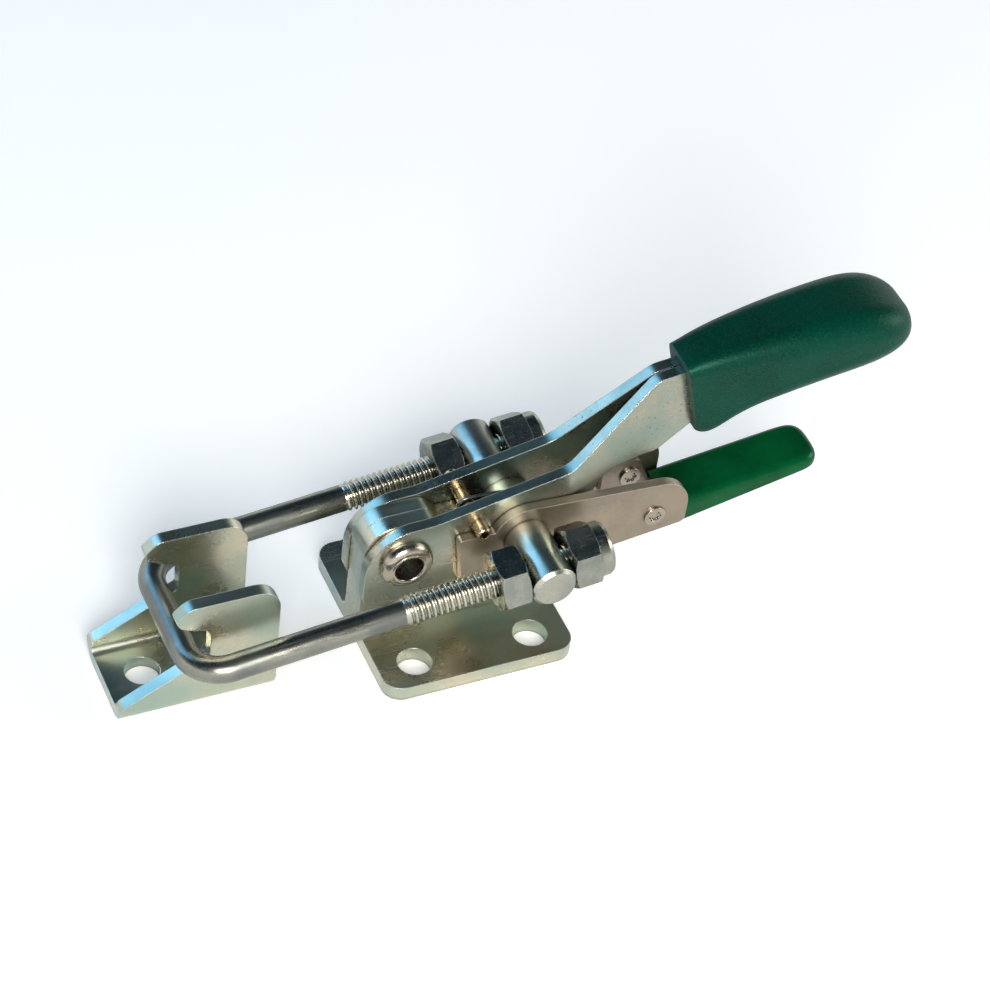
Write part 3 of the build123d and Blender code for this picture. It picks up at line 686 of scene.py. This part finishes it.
class LATCH_OT_sheet(bpy.types.Operator):
    """Finish the folded sheet: base brackets, keeper, handle arms and the lever's core"""
    bl_idname = "latch.sheet"
    bl_label = "Plated Sheet"

    def execute(self, context):
        sizes, colours = context.scene.latch_sizes, context.scene.latch_colours
        tints = (colours.zinc_light, colours.zinc_shade)
        sheet = plated_metal(
            "zinc_sheet", *tints, smooth=0.24, rough=0.36, edge_tint=colours.zinc_edge_and_sheen,
            edge_radius=sizes.sheet_edge, dirt=0.06)
        dress((*pair("base_bracket"), "keeper"), sheet)
        # painted shade and a painted reflection of the warm release plates: the lever's core gets
        # the satin plate's darker tint, darker still in its clouds
        core = plated_metal(
            "lever_core_painted_shade", colours.satin_shade, scaled(colours.satin_shade, 0.6),
            smooth=0.30, rough=0.42, edge_tint=colours.satin_light,
            edge_radius=sizes.turned_edge)
        dress(("lever_core",), core)
        duller = [scaled(tint, 0.82) for tint in tints]
        arms = plated_metal(
            "zinc_arms", *duller, smooth=0.22, rough=0.34, edge_tint=colours.zinc_edge_and_sheen,
            edge_radius=sizes.sheet_edge, dirt=0.6)
        dress(pair("handle_arm"), arms)
        return {"FINISHED"}


class LATCH_OT_plates(bpy.types.Operator):
    """Finish the two release plates in warm satin plate"""
    bl_idname = "latch.plates"
    bl_label = "Release Plates"

    def execute(self, context):
        sizes, colours = context.scene.latch_sizes, context.scene.latch_colours
        satin = plated_metal(
            "satin_plate", colours.satin_light, colours.satin_shade, smooth=0.36, rough=0.48,
            edge_tint=SATIN_EDGE, edge_radius=sizes.sheet_edge, cloud=110.0, dirt=0.35)
        dress(pair("release_plate"), satin)
        return {"FINISHED"}


class LATCH_OT_turned(bpy.types.Operator):
    """Finish the trunnion, the spacer and the nuts in bright turned steel"""
    bl_idname = "latch.turned"
    bl_label = "Turned Steel"

    def execute(self, context):
        sizes, colours = context.scene.latch_sizes, context.scene.latch_colours
        tints = (colours.steel_light, colours.steel_shade)
        bright = plated_metal(
            "bright_trunnion", *tints, smooth=0.26, rough=0.38, edge_tint=colours.zinc_edge_and_sheen,
            edge_radius=sizes.turned_edge, cloud=120.0, dirt=0.15)
        dress(("trunnion", "trunnion_spacer"), bright)
        duller = [scaled(tint, 0.76) for tint in tints]
        nuts = plated_metal(
            "bright_nuts", *duller, smooth=0.18, rough=0.30, edge_tint=NUT_EDGE,
            edge_radius=sizes.sheet_edge, cloud=220.0, dirt=0.25)
        dress((*pair("jam_nut"), *pair("lock_nut")), nuts)
        return {"FINISHED"}


class LATCH_OT_fasteners(bpy.types.Operator):
    """Finish the rivets, the stop pin and the nylon lock rings"""
    bl_idname = "latch.fasteners"
    bl_label = "Rivets, Pin and Lock Rings"

    def execute(self, context):
        sizes, colours = context.scene.latch_sizes, context.scene.latch_colours
        nickel = plated_metal(
            "nickel_rivet", colours.nickel, scaled(colours.nickel, 0.72), smooth=0.16,
            rough=0.28, edge_tint=NICKEL_EDGE, edge_radius=sizes.turned_edge)
        dress(("pivot_rivet", *pair("star_rivet")), nickel)
        # the stop pin's straw tint is a painted reflection of the warm release plates
        pin_straw_reflection = plated_metal(
            "bronze_pin", colours.pin_straw_reflection, scaled(colours.pin_straw_reflection, 0.7), smooth=0.22,
            rough=0.34, edge_tint=PIN_STRAW_REFLECTION_EDGE, edge_radius=sizes.turned_edge)
        dress(("stop_pin",), pin_straw_reflection)
        nylon = moulded_plastic(
            "nylon_ring", colours.nylon, NYLON_SHADE, roughness=0.42, gloss=0.4, grain=0.3,
            grain_scale=3000.0, depth=0.02 * MM, edge_radius=0.1 * MM)
        dress(pair("nylon_insert"), nylon)
        return {"FINISHED"}


class LATCH_OT_spring(bpy.types.Operator):
    """Build the torsion spring, whose coil turns between the handle and the lever"""
    bl_idname = "latch.spring"
    bl_label = "Return Spring"

    def execute(self, context):
        colours = context.scene.latch_colours
        wire = plated_metal(
            "spring_wire", colours.steel_light, colours.rod_shade, smooth=0.20, rough=0.34,
            edge_tint=colours.steel_light, edge_radius=FINE_EDGE)
        centre = hook_axes()[0]
        low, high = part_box("stop_pin")
        mesh = build_spring_mesh("torsion_spring", centre, (low + high) / 2)
        spring = add_piece("torsion_spring", mesh, wire)
        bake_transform(spring)
        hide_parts("return_spring")
        return {"FINISHED"}


class LATCH_OT_skins(bpy.types.Operator):
    """Finish the moulded grip and build the dipped skin of the lever"""
    bl_idname = "latch.skins"
    bl_label = "Grip and Dip"

    def execute(self, context):
        sizes, colours = context.scene.latch_sizes, context.scene.latch_colours
        grip = moulded_plastic(
            "grip_plastic", colours.grip_green, scaled(colours.grip_green, 0.72),
            roughness=0.31, gloss=0.26, grain=0.8, grain_scale=sizes.grain_scale,
            depth=0.16 * MM, edge_radius=0.3 * MM, tint=GRIP_SHEEN)
        dress(("grip",), grip)
        dip = moulded_plastic(
            "dip_vinyl", colours.dip_green, scaled(colours.dip_green, 0.55),
            roughness=0.22, gloss=0.30, grain=0.06, grain_scale=1200.0,
            depth=0.05 * MM, edge_radius=0.5 * MM, tint=DIP_SHEEN)
        skin = add_piece("lever_skin", squared_tip_mesh("lever_skin", "lever_dip"), dip)
        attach(skin, "release_lever")
        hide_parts("lever_dip")
        return {"FINISHED"}


# ------------------------------------------------------------------ stage
def staged_mesh(name, vertices, faces, material):
    """A mesh for the studio, put in the scene with its material like the latch's own pieces."""
    mesh = bpy.data.meshes.new(name)
    mesh.from_pydata(vertices, [], faces)
    made = add_piece(name, mesh, material)
    return made


def floor_material(colour):
    """Matt pale floor that reads white to the eye and keeps its shadows."""
    material, tree, shader = new_material("studio_floor")
    shader.inputs["Base Color"].default_value = (*colour, 1)
    shader.inputs["Roughness"].default_value = 0.9
    shader.inputs["Specular IOR Level"].default_value = 0.0
    path = add_node(tree, "ShaderNodeLightPath").outputs["Is Camera Ray"]
    shader.inputs["Emission Color"].default_value = (1, 1, 1, 1)
    glow = math_node(tree, "MULTIPLY", path, FLOOR_GLOW)
    tree.links.new(glow, shader.inputs["Emission Strength"])
    return material


def hood_material():
    """Dark teal card, darker towards the top, that the plated faces reflect."""
    material, tree, shader = new_material("studio_hood")
    shader.inputs["Base Color"].default_value = (0, 0, 0, 1)
    shader.inputs["Specular IOR Level"].default_value = 0.0
    shader.inputs["Roughness"].default_value = 1.0
    place = add_node(tree, "ShaderNodeTexCoord").outputs["Object"]
    height = add_node(tree, "ShaderNodeSeparateXYZ", {0: place}).outputs["Z"]
    climb = map_range(tree, height, HOOD_R * math.sin(HOOD_LOW), HOOD_R * HOOD_DARK_LEVEL)
    tree.links.new(mix_colour(tree, climb, HOOD_RIM_TINT, HOOD_TOP_TINT),
                   shader.inputs["Emission Color"])
    shader.inputs["Emission Strength"].default_value = 1.0
    return material


def build_floor(colour):
    """Round pale floor under the latch."""
    rim = ring(FLOOR_R, CAD_BOX[0][2], FLOOR_SIDES)
    staged_mesh("studio_floor", rim, [tuple(range(FLOOR_SIDES))], floor_material(colour))


def build_hood():
    """Dark ring overhead that gives the plated faces something to reflect."""
    points = []
    for step in range(HOOD_STEPS + 1):
        height = HOOD_LOW + (HOOD_HIGH - HOOD_LOW) * step / HOOD_STEPS
        points += ring(HOOD_R * math.cos(height), HOOD_R * math.sin(height), HOOD_SIDES)
    faces = skin_faces(HOOD_STEPS + 1, HOOD_SIDES)
    hood = staged_mesh("studio_hood", points, faces, hood_material())
    hood.visible_camera = False


def soft_lamp(name, direction, distance, size, power, colour):
    """Square soft lamp that looks at the middle of the latch."""
    lamp = bpy.data.lights.new(name, "AREA")
    lamp.shape = "SQUARE"
    lamp.size = size
    lamp.energy = power
    lamp.color = colour
    made = bpy.data.objects.new(name, lamp)
    direction = Vector(direction).normalized()
    made.location = CAMERA_TARGET + direction * distance
    made.rotation_euler = direction.to_track_quat("Z", "Y").to_euler()
    bpy.context.scene.collection.objects.link(made)


def build_world():
    """White to the camera and in reflections, a plain level of light for matt surfaces."""
    world = bpy.data.worlds.new("studio_world")
    world.use_nodes = True
    tree = world.node_tree
    background = tree.nodes["Background"]
    background.inputs["Color"].default_value = (1, 1, 1, 1)
    path = add_node(tree, "ShaderNodeLightPath").outputs
    seen = math_node(tree, "MAXIMUM", path["Is Camera Ray"], path["Is Glossy Ray"])
    seen = math_node(tree, "MAXIMUM", seen, path["Is Transmission Ray"])
    level = map_range(tree, seen, 0.0, 1.0, MATT_LIGHT_LEVEL, 1.0)
    tree.links.new(level, background.inputs["Strength"])
    bpy.context.scene.world = world


def build_camera():
    """Camera at the viewing angle, with a small roll and a lens shift for the framing."""
    across = Vector((math.cos(CAMERA_AZIMUTH), -math.sin(CAMERA_AZIMUTH), 0))
    ahead = Vector((math.sin(CAMERA_AZIMUTH) * math.cos(CAMERA_HEIGHT),
                    math.cos(CAMERA_AZIMUTH) * math.cos(CAMERA_HEIGHT), -math.sin(CAMERA_HEIGHT)))
    above = across.cross(ahead)
    right = across * math.cos(CAMERA_ROLL) + above * math.sin(CAMERA_ROLL)
    up = above * math.cos(CAMERA_ROLL) - across * math.sin(CAMERA_ROLL)
    camera = bpy.data.cameras.new("studio_camera")
    camera.lens = CAMERA_LENS
    camera.shift_x, camera.shift_y = CAMERA_SHIFT
    camera.clip_start = 0.01
    made = bpy.data.objects.new("studio_camera", camera)
    turned = Matrix((right, up, -ahead)).transposed().to_4x4()
    turned.translation = CAMERA_TARGET - ahead * CAMERA_DISTANCE
    made.matrix_world = turned
    bpy.context.scene.collection.objects.link(made)
    bpy.context.scene.camera = made


class LATCH_OT_studio(bpy.types.Operator):
    """Set up the floor, the hood, the lamps, the world and the camera"""
    bl_idname = "latch.studio"
    bl_label = "Studio"

    def execute(self, context):
        build_floor(context.scene.latch_colours.floor)
        build_hood()
        for lamp in LAMPS:
            soft_lamp(*lamp)
        build_world()
        build_camera()
        context.scene.view_settings.view_transform = "Standard"
        return {"FINISHED"}


# ------------------------------------------------------------------ panel
OPERATORS = (LATCH_OT_studio, LATCH_OT_hook, LATCH_OT_sheet, LATCH_OT_plates, LATCH_OT_turned,
             LATCH_OT_fasteners, LATCH_OT_spring, LATCH_OT_skins)


class LATCH_PT_panel(bpy.types.Panel):
    """Sidebar panel with the settings and the building steps"""
    bl_idname = "LATCH_PT_panel"
    bl_label = "Toggle Latch"
    bl_space_type = "VIEW_3D"
    bl_region_type = "UI"
    bl_category = "Latch"

    def draw(self, context):
        for settings in (context.scene.latch_sizes, context.scene.latch_colours):
            box = self.layout.box()
            for name in settings.bl_rna.properties.keys():
                if name not in ("rna_type", "name"):
                    box.prop(settings, name)
        for operator in OPERATORS:
            self.layout.operator(operator.bl_idname)


CLASSES = (LatchSizes, LatchColours, *OPERATORS, LATCH_PT_panel)


def register():
    """Register the classes and hang the settings on the scene."""
    for each in CLASSES:
        bpy.utils.register_class(each)
    bpy.types.Scene.latch_sizes = PointerProperty(type=LatchSizes)
    bpy.types.Scene.latch_colours = PointerProperty(type=LatchColours)


def unregister():
    """Take the settings and the classes away again."""
    del bpy.types.Scene.latch_colours
    del bpy.types.Scene.latch_sizes
    for each in reversed(CLASSES):
        bpy.utils.unregister_class(each)


def main():
    """Build everything in order."""
    register()
    for operator in OPERATORS:
        group, name = operator.bl_idname.split(".")
        getattr(getattr(bpy.ops, group), name)()


if __name__ == "__main__":
    main()
